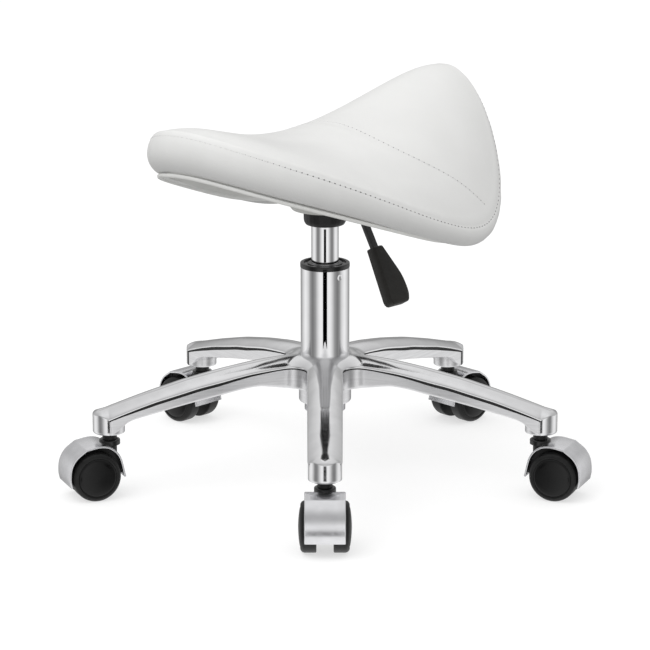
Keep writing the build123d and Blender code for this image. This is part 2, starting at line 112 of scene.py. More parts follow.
def finish(name, dark, light, roughness, metallic=0.0, patch=40.0, stretch=EVEN, bumps=(),
           coat=0.0, coat_roughness=0.1, specular=0.5):
    """A finish that drifts between two tones and two roughnesses, with layered fine relief.
    Each bump is (pattern, scale, height in mm, stretch)."""
    mat = bpy.data.materials.new(name)
    mat.use_nodes = True
    tree = mat.node_tree
    tree.nodes.clear()
    link = tree.links.new
    out = tree.nodes.new("ShaderNodeOutputMaterial")
    shader = tree.nodes.new("ShaderNodeBsdfPrincipled")
    link(shader.outputs[0], out.inputs[0])
    shader.inputs["Metallic"].default_value = metallic
    shader.inputs["Coat Weight"].default_value = coat
    shader.inputs["Coat Roughness"].default_value = coat_roughness
    shader.inputs["Specular IOR Level"].default_value = specular
    coords = tree.nodes.new("ShaderNodeTexCoord")

    def pattern(kind, scale, spread):
        place = tree.nodes.new("ShaderNodeMapping")
        place.inputs["Scale"].default_value = spread
        link(coords.outputs["Object"], place.inputs["Vector"])
        if kind == "cells":
            node = tree.nodes.new("ShaderNodeTexVoronoi")
            node.feature = "SMOOTH_F1"
            node.inputs["Smoothness"].default_value = 0.5
            result = node.outputs["Distance"]
        else:
            node = tree.nodes.new("ShaderNodeTexNoise")
            node.inputs["Detail"].default_value = 3.0
            result = node.outputs["Fac"]
        node.inputs["Scale"].default_value = scale
        link(place.outputs[0], node.inputs["Vector"])
        return result

    drift = pattern("noise", patch, stretch)
    tones = tree.nodes.new("ShaderNodeValToRGB")
    tones.color_ramp.elements[0].position = 0.3
    tones.color_ramp.elements[0].color = (*dark, 1.0)
    tones.color_ramp.elements[1].position = 0.7
    tones.color_ramp.elements[1].color = (*light, 1.0)
    link(drift, tones.inputs[0])
    link(tones.outputs[0], shader.inputs["Base Color"])
    gloss = map_range(tree, pattern("noise", patch * GLOSS_PATCH, stretch), (0.25, 0.75), roughness)
    link(gloss, shader.inputs["Roughness"])
    normal = None
    for kind, scale, height, spread in bumps:
        bump = tree.nodes.new("ShaderNodeBump")
        bump.inputs["Strength"].default_value = BUMP_STRENGTH
        bump.inputs["Distance"].default_value = height * MM
        link(pattern(kind, scale, spread), bump.inputs["Height"])
        if normal is not None:
            link(normal, bump.inputs["Normal"])
        normal = bump.outputs[0]
    if normal is not None:
        link(normal, shader.inputs["Normal"])
    return mat


def grey(value):
    return (value, value, value)


leather = finish("white_leather", (0.700, 0.700, 0.690), (0.735, 0.735, 0.725), (0.42, 0.54), patch=14,
                 bumps=[("cells", 900, 0.10, EVEN), ("noise", 260, 0.12, EVEN), ("noise", 45, 0.3, EVEN)])
thread = finish("white_thread", (0.60, 0.60, 0.59), (0.70, 0.70, 0.69), (0.6, 0.8), patch=900,
                bumps=[("noise", 2500, 0.1, EVEN)])
# The needle holes are near-black beads of painted shade. Along the cross seam they are a lighter painted
# shade.
needle_hole_painted_shade = finish("needle_hole_painted_shade", grey(0.10), grey(0.16), (0.7, 0.9), patch=900)
faint_hole_painted_shade = finish("faint_needle_hole_painted_shade", grey(0.24), grey(0.32), (0.7, 0.9), patch=900)
panel = finish("light_panel", (0.62, 0.62, 0.595), (0.68, 0.68, 0.65), (0.5, 0.62), patch=30,
               bumps=[("noise", 1400, 0.06, EVEN)])
piping = finish("light_piping", (0.74, 0.74, 0.72), (0.80, 0.80, 0.78), (0.42, 0.55), patch=40,
                bumps=[("cells", 900, 0.06, EVEN)])
polished = finish("polished_aluminium", (0.82, 0.82, 0.83), (0.88, 0.88, 0.89), (0.10, 0.15), 1.0, patch=70,
                  bumps=[("noise", 900, 0.004, EVEN)])
brushed = finish("brushed_aluminium", (0.72, 0.72, 0.73), (0.84, 0.84, 0.85), (0.27, 0.36), 1.0, patch=26,
                 stretch=(1, 1, 22), bumps=[("noise", 60, 0.03, (1, 1, 30))])
# Near-black painted shade for the arms' groove: it stands in for the shade and dark reflection inside the
# recess.
groove_painted_shade = finish("groove_shadow", grey(0.015), grey(0.03), (0.5, 0.7), patch=200)
chrome = finish("chrome", (0.86, 0.86, 0.87), (0.92, 0.92, 0.93), (0.02, 0.05), 1.0, patch=50)
chrome_soft = finish("chrome_plastic", (0.80, 0.80, 0.82), (0.87, 0.87, 0.89), (0.19, 0.25), 1.0, patch=80,
                     bumps=[("noise", 120, 0.02, EVEN)])
zinc = finish("zinc_steel", (0.50, 0.50, 0.52), (0.66, 0.66, 0.68), (0.25, 0.4), 1.0, patch=120)
black_plastic = finish("black_plastic", grey(0.005), grey(0.010), (0.34, 0.46), patch=120, specular=0.35,
                       bumps=[("noise", 1600, 0.04, EVEN)])
black_gloss = finish("black_gloss", grey(0.006), grey(0.010), (0.10, 0.16), patch=80,
                     bumps=[("noise", 300, 0.01, EVEN)])
wheel_face = finish("wheel_gloss", grey(0.004), grey(0.007), (0.14, 0.22), patch=60, specular=0.3,
                    bumps=[("noise", 500, 0.012, EVEN)])
wheel_tread = finish("wheel_tread", grey(0.006), grey(0.012), (0.35, 0.5), patch=200, specular=0.3,
                     bumps=[("noise", 900, 0.05, EVEN)])
paddle_black = finish("paddle_plastic", (0.011, 0.010, 0.008), (0.017, 0.016, 0.014), (0.42, 0.55),
                      patch=150, specular=0.35, bumps=[("noise", 1500, 0.06, EVEN)])
black_steel = finish("black_steel", grey(0.012), grey(0.022), (0.28, 0.4), patch=200,
                     bumps=[("noise", 1200, 0.02, EVEN)])
black_rubber = finish("black_rubber", grey(0.014), grey(0.022), (0.6, 0.75), patch=200,
                      bumps=[("noise", 900, 0.05, EVEN)])
foam = finish("foam", (0.62, 0.58, 0.42), (0.70, 0.66, 0.50), (0.85, 0.95), patch=300,
              bumps=[("cells", 700, 0.3, EVEN)])
plywood = finish("plywood", (0.42, 0.29, 0.16), (0.58, 0.42, 0.26), (0.55, 0.7), patch=9,
                 stretch=(1, 9, 30), bumps=[("noise", 60, 0.1, (1, 9, 30))])

node_finish = {
    "white_leather": leather, "light_panel": panel, "polished_aluminium": polished, "chrome_steel": chrome,
    "chrome_plastic": chrome_soft, "zinc_steel": zinc, "black_plastic": black_plastic,
    "black_gloss": black_gloss, "wheel_black": wheel_face, "black_steel": black_steel,
    "black_rubber": black_rubber, "foam": foam, "plywood": plywood,
}
for entry in frame["record"]["subparts"]:
    cad = nodes[entry["node"]]
    cad.data.materials.clear()
    cad.data.materials.append(node_finish[entry["material_slot"]])


# ---------------------------------------------------------------- mesh helpers

JOIN_DISTANCE = 0.00001
NO_LENGTH = 0.000001


def piece(name, vertices, faces, materials, body, face_material=None, sharp=35):
    """A shown piece from vertices in millimetres.  Close points are joined and normals face out."""
    mesh = bpy.data.meshes.new(name)
    mesh.from_pydata([tuple(float(c) * MM for c in v) for v in vertices], [], faces)
    for mat in materials:
        mesh.materials.append(mat)
    if face_material is not None:
        mesh.polygons.foreach_set("material_index", face_material)
    work = bmesh.new()
    work.from_mesh(mesh)
    bmesh.ops.remove_doubles(work, verts=work.verts, dist=JOIN_DISTANCE)
    bmesh.ops.dissolve_degenerate(work, edges=work.edges, dist=NO_LENGTH)
    bmesh.ops.recalc_face_normals(work, faces=work.faces)
    work.to_mesh(mesh)
    work.free()
    mesh.shade_smooth()
    mesh.set_sharp_from_angle(angle=radians(sharp))
    obj = bpy.data.objects.new(name, mesh)
    scene.collection.objects.link(obj)
    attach(obj, body)
    return obj


def strip_faces(rows, columns, close_rows=False, close_columns=False):
    """Quads over a grid of points numbered row by row."""
    faces = []
    for i in range(rows if close_rows else rows - 1):
        for j in range(columns if close_columns else columns - 1):
            a, b = i * columns + j, i * columns + (j + 1) % columns
            c, d = ((i + 1) % rows) * columns + (j + 1) % columns, ((i + 1) % rows) * columns + j
            faces.append((a, b, c, d))
    return faces


def end_caps(rows, columns):
    """The two end faces of a section swept along a line, each section point being a row."""
    return [tuple(k * columns for k in range(rows)),
            tuple(k * columns + columns - 1 for k in range(rows))[::-1]]


def lathe(profile, sides=96, place=Matrix.Identity(4)):
    """A closed profile of (radius, height) turned about Z, then put in place."""
    vertices = []
    for radius, height in profile:
        for k in range(sides):
            angle = 2 * pi * k / sides
            vertices.append(place @ Vector((radius * cos(angle), radius * sin(angle), height)))
    return vertices, strip_faces(len(profile), sides, close_rows=True, close_columns=True)


def smooth_line(points, steps):
    """A Catmull-Rom line through plane points, with equal steps in each span."""
    points = [np.array(p, float) for p in points]
    ends = [2 * points[0] - points[1]] + points + [2 * points[-1] - points[-2]]
    line = []
    for i in range(1, len(ends) - 2):
        a, b, c, d = ends[i - 1:i + 3]
        for step in range(steps):
            t = step / steps
            line.append(0.5 * (2 * b + (c - a) * t + (2 * a - 5 * b + 4 * c - d) * t ** 2
                               + (3 * b - a - 3 * c + d) * t ** 3))
    line.append(points[-1])
    return [tuple(p) for p in line]


def quadratic(first, corner, last, t):
    """A point on the quadratic arc that rounds a corner."""
    return (1 - t) ** 2 * first + 2 * t * (1 - t) * corner + t ** 2 * last


def rounded(profile, radius, steps=4):
    """A closed outline with its corners rounded.  An arc takes no more than its part of an edge."""
    most = 0.48
    result = []
    count = len(profile)
    for i in range(count):
        corner = np.array(profile[i], float)
        r = radius[i] if isinstance(radius, (list, tuple)) else radius
        if r <= 0:
            result.append(tuple(corner))
            continue
        arc_ends = []
        for beside in (profile[i - 1], profile[(i + 1) % count]):
            away = np.array(beside, float) - corner
            length = np.linalg.norm(away)
            arc_ends.append(corner + away / length * min(r, most * length))
        for step in range(steps + 1):
            result.append(tuple(quadratic(arc_ends[0], corner, arc_ends[1], step / steps)))
    return result


def right_of(line):
    """Unit directions to the right of a plane line, at each of its points."""
    ahead = np.gradient(line, axis=0)
    ahead /= np.linalg.norm(ahead, axis=1)[:, None]
    return np.stack([ahead[:, 1], -ahead[:, 0]], -1)


# ---------------------------------------------------------------- seat shape
# Seat axes: u runs forward and w to the sitter's left, both from the column's axis.

HEADING = radians(-134.0)
RIDGE_SPAN = 200
RIDGE = (364.5, -25.6, 72.9, 16.6, -36.7)   # height of the centre line, by powers of u / RIDGE_SPAN
DROOP = (62.4, -98.2, 76.5)                 # fall at the half width, by the same powers
DROOP_POWER = 1.87
HALF_WIDTH = 150
NOSE_LENGTH, NOSE_POWER = 192.0, 2.0
REAR_LENGTH, REAR_POWER = 184.0, 2.45
PANEL_INSET = 14.0                          # width of the rolled edge
LIP_INSET = 5.0                             # how far the side turns in at its foot
EDGE_DROP = 6.2
HIP_DROP, HIP_AT, HIP_SPREAD = 2.2, 112, 28
BACK_LIFT, BACK_AT, BACK_SPREAD = 2.8, 165, 24
DROP_START, DROP_SHARE = 0.78, 0.22         # shares of the way out from the column
SIDE_HEIGHT = (27.2, 8.8, 3.8)              # mean, nose over rear, ends over waist
SIDE_EASE = 1.15                            # the side is steeper at the crease than at its foot
MEAN_BULGE, END_BULGE, REAR_BULGE = 3.8, 2.8, 0.6
BULGE_SKEW, BULGE_FULLNESS = 0.95, 0.8
CREASE_DEPTH = 1.4
TOP_CREASE, SIDE_CREASE = 0.9, 0.06         # its spread, in mm on the top and as a share of the side
NOSE_SEWING, NOSE_EDGE, NOSE_BLEND = 0.12, 12, 28
SEAM_START, SEAM_SWEEP, SEAM_WIDTH, SEAM_POWER = -12, 39, 104.3, 3.7
SEAM_DEPTH, SEAM_SPREAD = 0.55, 1.5
SHOULDER_LIFT, SHOULDER_AT, SHOULDER_SPREAD = 0.25, 6, 4.0
STITCH_LEVEL, STITCH_SPREAD = 0.08, 0.045   # shares of the way down the side
STITCH_SINK = 0.5
PITCH = 5.7                                 # from one stitch to the next


def hump(x, middle, width):
    """A smooth hump, one at its middle."""
    return np.exp(-((x - middle) / width) ** 2)


def polar(distance, angle):
    """Seat axes of a place at a distance from the column."""
    return distance * np.cos(angle), distance * np.sin(angle)


def saddle(u, w):
    """Height of the seat's bare surface."""
    s = u / RIDGE_SPAN
    ridge = sum(term * s ** power for power, term in enumerate(RIDGE))
    droop = sum(term * s ** power for power, term in enumerate(DROOP))
    return ridge - droop * (np.abs(w) / HALF_WIDTH) ** DROOP_POWER


def reach(angle):
    """Distance of the seat's outline from the column at an angle from straight ahead."""
    ahead = np.cos(angle) > 0
    length = np.where(ahead, NOSE_LENGTH, REAR_LENGTH)
    power = np.where(ahead, NOSE_POWER, REAR_POWER)
    return (np.abs(np.cos(angle) / length) ** power
            + np.abs(np.sin(angle) / HALF_WIDTH) ** power) ** (-1 / power)


def dressed_top(u, w):
    """The covered surface: the saddle, dropping towards its edge, most by the hips and least behind."""
    angle = np.arctan2(w, u)
    share = np.hypot(u, w) / reach(angle)
    turned = np.abs(np.degrees(angle))
    drop = (EDGE_DROP + HIP_DROP * hump(turned, HIP_AT, HIP_SPREAD)
            - BACK_LIFT * hump(turned, BACK_AT, BACK_SPREAD))
    return saddle(u, w) - drop * np.clip((share - DROP_START) / DROP_SHARE, 0, 1) ** 2


def seat_world(u, w, z):
    """Seat axes to the row frame."""
    return np.stack([u * cos(HEADING) - w * sin(HEADING), u * sin(HEADING) + w * cos(HEADING), z], -1)


def side_height(angle):
    """Height of the side, from its foot to the crease."""
    return SIDE_HEIGHT[0] + SIDE_HEIGHT[1] * np.cos(angle) + SIDE_HEIGHT[2] * np.cos(2 * angle)


def side_bulge(angle):
    """How far the side swells past the outline: fullest round the nose, least behind."""
    ahead = np.cos(angle)
    return MEAN_BULGE + END_BULGE * ahead * np.abs(ahead) * np.where(ahead > 0, 1.0, REAR_BULGE)


def nose_fade(angle):
    """One round the sides and the rear, falling off round the nose, where the sewing is faint."""
    turned = np.abs(np.degrees(np.arctan2(np.sin(angle), np.cos(angle))))
    return NOSE_SEWING + (1 - NOSE_SEWING) * np.clip((turned - NOSE_EDGE) / NOSE_BLEND, 0, 1)


def side_surface(angle, t):
    """Distance from the column and height of the side, t running from the crease to the foot."""
    level = 1.0 - (1.0 - t) ** SIDE_EASE
    swell = side_bulge(angle) * np.sin(pi * t ** BULGE_SKEW) ** BULGE_FULLNESS
    top = dressed_top(*polar(reach(angle), angle))
    crease = top - CREASE_DEPTH * nose_fade(angle) * hump(t, 0, SIDE_CREASE)
    return reach(angle) + (swell - LIP_INSET * t ** 3), crease - side_height(angle) * level


def disc_grid(count):
    """A square grid pressed into a unit disc: each point's distance and angle, and the rim's order."""
    line = np.linspace(-1, 1, count)
    x, y = np.meshgrid(line, line, indexing="ij")
    px, py = x * np.sqrt(1 - y ** 2 / 2), y * np.sqrt(1 - x ** 2 / 2)
    last = count - 1
    rim = ([(i, 0) for i in range(last)] + [(last, j) for j in range(last)]
           + [(i, last) for i in range(last, 0, -1)] + [(0, j) for j in range(last, 0, -1)])
    return np.hypot(px, py).ravel(), np.arctan2(py, px).ravel(), [i * count + j for i, j in rim]


def seam_line(w):
    """The cross seam: level across the waist, swept back to the rear corners."""
    return SEAM_START - SEAM_SWEEP * (np.abs(w) / SEAM_WIDTH) ** SEAM_POWER


def seam_dip(u, w):
    """The sewn channel along the cross seam, with a low shoulder on each side."""
    slope = SEAM_SWEEP * SEAM_POWER / SEAM_WIDTH * (np.abs(w) / SEAM_WIDTH) ** (SEAM_POWER - 1)
    off = (u - seam_line(w)) / np.sqrt(1 + slope ** 2)
    return (-SEAM_DEPTH * hump(off, 0, SEAM_SPREAD)
            + SHOULDER_LIFT * hump(np.abs(off), SHOULDER_AT, SHOULDER_SPREAD))


GRID = 110
SIDE_STEPS = 18
TOP_RINGS = (12.4, 10.8, 9.2, 7.8, 6.6, 5.6, 4.8, 4.2, 3.6, 2.8, 2.0, 1.3, 0.7, 0.3)
UNDER_RINGS = ((6.0, 0.8), (8.0, 1.1), (11.0, 1.2), (13.6, 1.2))
RIPPLES = ((0.16, 37, 0.7), (0.12, 59, 2.1), (0.08, 83, 0.0))   # height, count, phase
RIPPLE_FADE = 8
ROLL_SWELL, ROLL_AT, ROLL_SPREAD = 0.5, 3.4, 2.4
UNDER_DEPTH, UNDER_TAPER = 29.5, 0.19

share, bearing, rim = disc_grid(GRID)
grid_u, grid_w = polar(share * (reach(bearing) - PANEL_INSET), bearing)
around = bearing[rim]
full = reach(around)
rim_u, rim_w = polar(full, around)
foot = dressed_top(rim_u, rim_w) - side_height(around)
ripple = sum(size * np.sin(count * around + phase) for size, count, phase in RIPPLES)


def under_rim(distance):
    """Places at a distance from the column, and how much higher the saddle is there than at its rim."""
    u, w = polar(distance, around)
    return u, w, saddle(u, w) - saddle(rim_u, rim_w)


# The cushion's layers: the top, the rolled edge, the side, the turn under it, and the underside
layers = [np.stack([grid_u, grid_w, dressed_top(grid_u, grid_w) + seam_dip(grid_u, grid_w)], -1)]
for inset in TOP_RINGS:
    u, w = polar(full - inset, around)
    swell = ROLL_SWELL * hump(inset, ROLL_AT, ROLL_SPREAD)
    crease = -CREASE_DEPTH * nose_fade(around) * hump(inset, 0, TOP_CREASE)
    height = dressed_top(u, w) + swell + crease + seam_dip(u, w) + ripple * np.exp(-inset / RIPPLE_FADE)
    layers.append(np.stack([u, w, height], -1))
for step in range(1, SIDE_STEPS + 1):
    t = step / SIDE_STEPS
    distance, height = side_surface(around, t)
    distance = distance + ripple * np.sin(pi * t) - STITCH_SINK * hump(t, STITCH_LEVEL, STITCH_SPREAD)
    layers.append(np.stack([*polar(distance, around), height], -1))
for inset, lift in UNDER_RINGS:
    u, w, rise = under_rim(full - inset)
    layers.append(np.stack([u, w, foot - 1 + lift + rise], -1))
under_depth = UNDER_DEPTH * (1 + UNDER_TAPER * grid_u / RIDGE_SPAN)
layers.append(np.stack([grid_u, grid_w, saddle(grid_u, grid_w) - under_depth], -1))

points = np.concatenate(layers)
rim_count = len(rim)
under_start = len(points) - GRID * GRID
faces = strip_faces(GRID, GRID)
rings = [list(rim)]
for ring_start in range(GRID * GRID, under_start, rim_count):
    rings.append(list(range(ring_start, ring_start + rim_count)))
rings.append([under_start + k for k in rim])
for upper, lower in zip(rings, rings[1:]):
    for j in range(rim_count):
        k = (j + 1) % rim_count
        faces.append((upper[j], upper[k], lower[k], lower[j]))
faces += [tuple(under_start + k for k in face) for face in strip_faces(GRID, GRID)]
cushion = piece("seat_cushion", seat_world(points[:, 0], points[:, 1], points[:, 2]), faces, [leather],
                "seat", sharp=75)
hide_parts("cover_front", "cover_rear", "cover_band", "seat_foam")


# ---------------------------------------------------------------- stitches and trim

BEAD_RINGS, BEAD_SIDES = 6, 8
THREAD_SHARE, THREAD_WIDTH, THREAD_HEIGHT = 0.62, 0.8, 0.6
HOLE_STRETCH, HOLE_HEIGHT = 1.3, 0.7
EDGE_HOLE = 1.35
CROSS_HOLE, CROSS_HOLE_MORE = 0.4, 0.75


def along(line, pitch):
    """Points at an even pitch along a line, each with its direction."""
    line = np.array(line)
    gaps = np.linalg.norm(np.diff(line, axis=0), axis=1)
    total = np.concatenate([[0], np.cumsum(gaps)])
    result = []
    for distance in np.arange(pitch / 2, total[-1], pitch):
        k = min(int(np.searchsorted(total, distance)) - 1, len(gaps) - 1)
        t = (distance - total[k]) / gaps[k]
        result.append((line[k] * (1 - t) + line[k + 1] * t, (line[k + 1] - line[k]) / gaps[k]))
    return result


def bead(centre, direction, normal, length, width, height, vertices, faces):
    """A small rounded stitch lying along a direction, added to a growing mesh."""
    direction = Vector(direction).normalized()
    side = Vector(normal).cross(direction).normalized()
    up = direction.cross(side)
    base = len(vertices)
    for row in range(BEAD_RINGS + 1):
        a = pi * row / BEAD_RINGS
        for k in range(BEAD_SIDES):
            b = 2 * pi * k / BEAD_SIDES
            vertices.append(Vector(centre) - direction * cos(a) * length / 2
                            + (side * cos(b) * width / 2 + up * sin(b) * height / 2) * sin(a) ** 0.6)
    faces += [tuple(base + k for k in face)
              for face in strip_faces(BEAD_RINGS + 1, BEAD_SIDES, close_columns=True)]


def top_normal(place):
    """The upward direction of the seat's top at a place, in seat axes."""
    u, w = place[0], place[1]
    slope_u = float(dressed_top(u + 1, w) - dressed_top(u - 1, w)) / 2
    slope_w = float(dressed_top(u, w + 1) - dressed_top(u, w - 1)) / 2
    return np.array([-slope_u, -slope_w, 1.0])


def side_normal(place):
    """The outward direction of the seat's side at a place, in seat axes."""
    angle = float(np.arctan2(place[1], place[0]))
    return np.array([cos(angle), sin(angle), 0.35])


def edge_hole(place):
    """Size of a needle hole's painted shade at the edge, smaller where the sewing is faint round the nose.
    """
    return EDGE_HOLE * float(nose_fade(np.arctan2(place[1], place[0])))


def cross_hole(place):
    """Size of a needle hole's painted shade along the cross seam, smaller towards the sitter's right."""
    return CROSS_HOLE + CROSS_HOLE_MORE * min(max((place[1] + 10) / 40, 0), 1)


def sewn(name, line, normal_at, hole_at, hole_painted_shade):
    """Thread along a line on the cover, with near-black beads between the stitches as the needle holes'
    painted shade, their size set by their place.
    """
    vertices, faces, hole_vertices, hole_faces = [], [], [], []
    for place, direction in along(line, PITCH):
        hole = hole_at(place)
        normal = Vector(seat_world(*normal_at(place))).normalized()
        ahead = Vector(seat_world(*direction)).normalized()
        spot = Vector(seat_world(*place))
        bead(spot, ahead, normal, PITCH * THREAD_SHARE, THREAD_WIDTH, THREAD_HEIGHT, vertices, faces)
        bead(spot + ahead * PITCH / 2, ahead, normal, hole * HOLE_STRETCH, hole, HOLE_HEIGHT,
             hole_vertices, hole_faces)
    stitches = piece(name, vertices, faces, [thread], "seat", sharp=80)
    holes = piece(name + "_hole_painted_shade", hole_vertices, hole_faces, [hole_painted_shade], "seat",
                  sharp=80)
    return stitches, holes


loop = np.linspace(0, 2 * pi, 721)
loop_distance, loop_height = side_surface(loop, STITCH_LEVEL)
edge_line = np.stack([*polar(loop_distance - STITCH_SINK, loop), loop_height], -1)
edge_stitches, edge_hole_painted_shade = sewn("edge_stitches", edge_line, side_normal, edge_hole, needle_hole_painted_shade)

CROSS_HALF, CROSS_COUNT = 133, 300
BESIDE_SEAM = 3.2
SEAM_CLEAR = 7
cross_w = np.linspace(-CROSS_HALF, CROSS_HALF, CROSS_COUNT)
cross_u = seam_line(cross_w) - BESIDE_SEAM
inside = np.hypot(cross_u, cross_w) < reach(np.arctan2(cross_w, cross_u)) - SEAM_CLEAR
cross_u, cross_w = cross_u[inside], cross_w[inside]
cross_height = dressed_top(cross_u, cross_w) + seam_dip(cross_u, cross_w) - 0.1
sewn("cross_stitches", np.stack([cross_u, cross_w, cross_height], -1), top_normal, cross_hole, faint_hole_painted_shade)

# Trim under the cushion: a rounded bead with a flange turned in to the pan, tucked in behind
TRIM_DROP = 1.7
TRIM_TUCK = 4.0
trim_section = rounded([(4.4, -0.4), (4.4, -4.2), (9.5, -4.6), (10.5, -3.0), (15.5, -2.8), (15.5, -0.4)],
                       [0.9, 2.2, 2.0, 1.0, 0.4, 0.4], 4)
trim_tuck = TRIM_TUCK * np.clip((np.abs(np.degrees(around)) - 92) / 30, 0, 1)
trim_points = []
for inset, depth in trim_section:
    u, w, rise = under_rim(full - inset - trim_tuck)
    trim_points.append(seat_world(u, w, foot - TRIM_DROP + depth + rise))
trim = piece("seat_trim_bead", np.concatenate(trim_points),
             strip_faces(len(trim_section), rim_count, close_rows=True, close_columns=True),
             [piping], "seat")
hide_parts("seat_trim")


# ---------------------------------------------------------------- star base

# Half an arm is a wedge of nested lines: from the arm's spine out to its edge, down its side and
# back under.  It is mirrored, and turned to the five headings.

ARMS = {"front": -90, "left": -162, "right": -18, "back_left": 126, "back_right": 54}
STEM_CIRCLE = 229.1
TIP_RADIUS = 16.4
ROOT_WIDTH = 17.8
WEB_FILLET = 18.0
TUBE = 24.9
SPINE_END = STEM_CIRCLE - 3
HALF_PITCH = 36                             # degrees, half the angle between two arms
FILLET_STEPS, SIDE_COUNT, CROWN_STEPS, WALL_STEPS = 14, 44, 12, 7
POLISHED, BRUSHED, PAINTED_SHADE = 0, 1, 2           # the star base's materials, in order
CROWN_POWER = 2.1
TIP_RISE, TIP_RISE_FROM, TIP_RISE_OVER = 6.0, 234, 8
GROOVE_THIN, GROOVE_MORE = 0.9, 1.7         # the groove is widest along the middle of the arm

# Distances from the column, and the heights there of the groove, the crown and the underside
groove_line = ([25, 45, 59, 85, 102, 118, 139, 162, 186, 206, 222, 232, 250],
               [123.4, 122.8, 121.8, 119.2, 116.2, 112.9, 109.3, 103.8, 98.3, 92.4, 87.4, 83.9, 77.6])
crown_line = ([24, 45, 63, 100, 146, 194, 234, 250],
              [129.6, 128.6, 127.0, 122.0, 113.4, 101.3, 90.0, 86.0])
under_line = ([24, 35, 49, 65, 78, 97, 114, 139, 160, 185, 202, 212, 217, 222, 226, 230, 250],
              [96, 97, 99.4, 102, 104.1, 101.8, 98.4, 94, 90, 84.8, 81.3, 79, 76, 71, 67.5, 65.3, 65.3])


def fair(table):
    """A smooth curve through a table, as a function of the distance from the column."""
    half = 27
    xs, ys = np.array(table[0], float), np.array(table[1], float)
    fine = np.linspace(xs[0], xs[-1], 600)
    values = np.interp(fine, xs, ys)
    window = np.hanning(2 * half + 1)
    window /= window.sum()
    before, after = 2 * values[0] - values[half:0:-1], 2 * values[-1] - values[-2:-half - 2:-1]
    values = np.convolve(np.concatenate([before, values, after]), window, "valid")
    return lambda r: np.interp(r, fine, values)


groove_height, crown_height, under_height = fair(groove_line), fair(crown_line), fair(under_line)

web_reach = (ROOT_WIDTH + WEB_FILLET) / sin(radians(HALF_PITCH))
web_side = np.array([cos(radians(HALF_PITCH)), sin(radians(HALF_PITCH))])
fillet_x, fillet_y = web_reach * web_side
outline, inward, flags = [], [], []
for k in range(FILLET_STEPS + 1):
    angle = radians(180 + HALF_PITCH + (90 - HALF_PITCH) * k / FILLET_STEPS)
    outline.append((fillet_x + WEB_FILLET * cos(angle), fillet_y + WEB_FILLET * sin(angle)))
    turn = radians(HALF_PITCH * (1 - k / FILLET_STEPS))
    inward.append((TUBE * cos(turn), TUBE * sin(turn)))
    flags.append("side")
for k in range(1, SIDE_COUNT + 1):
    t = k / SIDE_COUNT
    outline.append((fillet_x + (STEM_CIRCLE - fillet_x) * t, ROOT_WIDTH + (TIP_RADIUS - ROOT_WIDTH) * t))
    inward.append((TUBE + (SPINE_END - TUBE) * t, 0))
    flags.append("side")
for flag, angles in (("side", (86, 82.5)), ("groove", (81, 78.5)),
                     ("tip", (77, 72, 66, 58, 50, 42, 34, 26, 18, 9, 0))):
    for a in map(radians, angles):
        outline.append((STEM_CIRCLE + TIP_RADIUS * cos(a), TIP_RADIUS * sin(a)))
        inward.append((SPINE_END + 14 * cos(a), 0))
        flags.append(flag)

outline, inward = np.array(outline), np.array(inward)
facing = -right_of(outline)
facing[0], facing[-1] = web_side, (1, 0)
for k in range(1, len(facing) - 1):
    if np.dot(facing[k], outline[k] - inward[k]) < 0:
        facing[k] = -facing[k]
reach_out = np.hypot(outline[:, 0], outline[:, 1])
reach_in = np.hypot(inward[:, 0], inward[:, 1])
tip_rise = TIP_RISE * np.clip((reach_out - TIP_RISE_FROM) / TIP_RISE_OVER, 0, 1)
edge_z, bottom_z = groove_height(reach_out) + tip_rise, under_height(reach_out)
mid_z, mid_bottom = crown_height(reach_in), under_height(reach_in)
is_tip = np.array([flag == "tip" for flag in flags])
is_groove = np.array([flag == "groove" for flag in flags])

columns, kinds = [], []
for step in range(CROWN_STEPS, 0, -1):
    s = step / CROWN_STEPS
    crown = edge_z + (mid_z - edge_z) * (1 - (1 - s) ** CROWN_POWER)
    columns.append(np.column_stack([outline + (inward - outline) * s, crown]))
    kinds.append("top")


def edge_row(offset, height, kind):
    """A line round the arm, set out from the outline by an offset."""
    set_out = np.broadcast_to(offset, len(outline))[:, None]
    columns.append(np.column_stack([outline + facing * set_out, height]))
    kinds.append(kind)


TIP_SET, GROOVE_SET, WALL_SET = 0.45, -1.5, -0.35
HOLLOW = 1.6
widening, narrowing = np.clip((reach_out - 60) / 60, 0, 1), np.clip((232 - reach_out) / 40, 0, 1)
groove_width = GROOVE_THIN + GROOVE_MORE * widening * narrowing
edge_row(0.0, edge_z, "top")
edge_row(0.35, edge_z - 0.5, "top")
edge_row(0.45, edge_z - 1.3, "top")
edge_row(np.where(is_tip, TIP_SET, 0.1), edge_z - 1.8, "top")
edge_row(np.where(is_tip, TIP_SET, GROOVE_SET), edge_z - 2.1, "groove")
edge_row(np.where(is_tip, TIP_SET, GROOVE_SET), edge_z - 2.3 - groove_width, "groove")
wall = np.where(is_tip, TIP_SET, np.where(is_groove, GROOVE_SET, WALL_SET))
wall_top = edge_z - 2.5 - groove_width
edge_row(wall, wall_top, "groove")
for step in range(1, WALL_STEPS + 1):
    edge_row(wall, wall_top + (bottom_z + HOLLOW - wall_top) * step / WALL_STEPS, "wall")
edge_row(wall - 0.5, bottom_z + 0.5, "wall")
edge_row(wall - 1.5, bottom_z, "wall")
edge_row(wall - 3.4, bottom_z, "under")
edge_row(wall - 4.2, bottom_z + HOLLOW, "under")
inner_edge = outline - facing * 4.6
for s in (0.5, 1.0):
    under = bottom_z + HOLLOW + (mid_bottom - bottom_z) * s
    columns.append(np.column_stack([inner_edge + (inward - inner_edge) * s, under]))
    kinds.append("under")

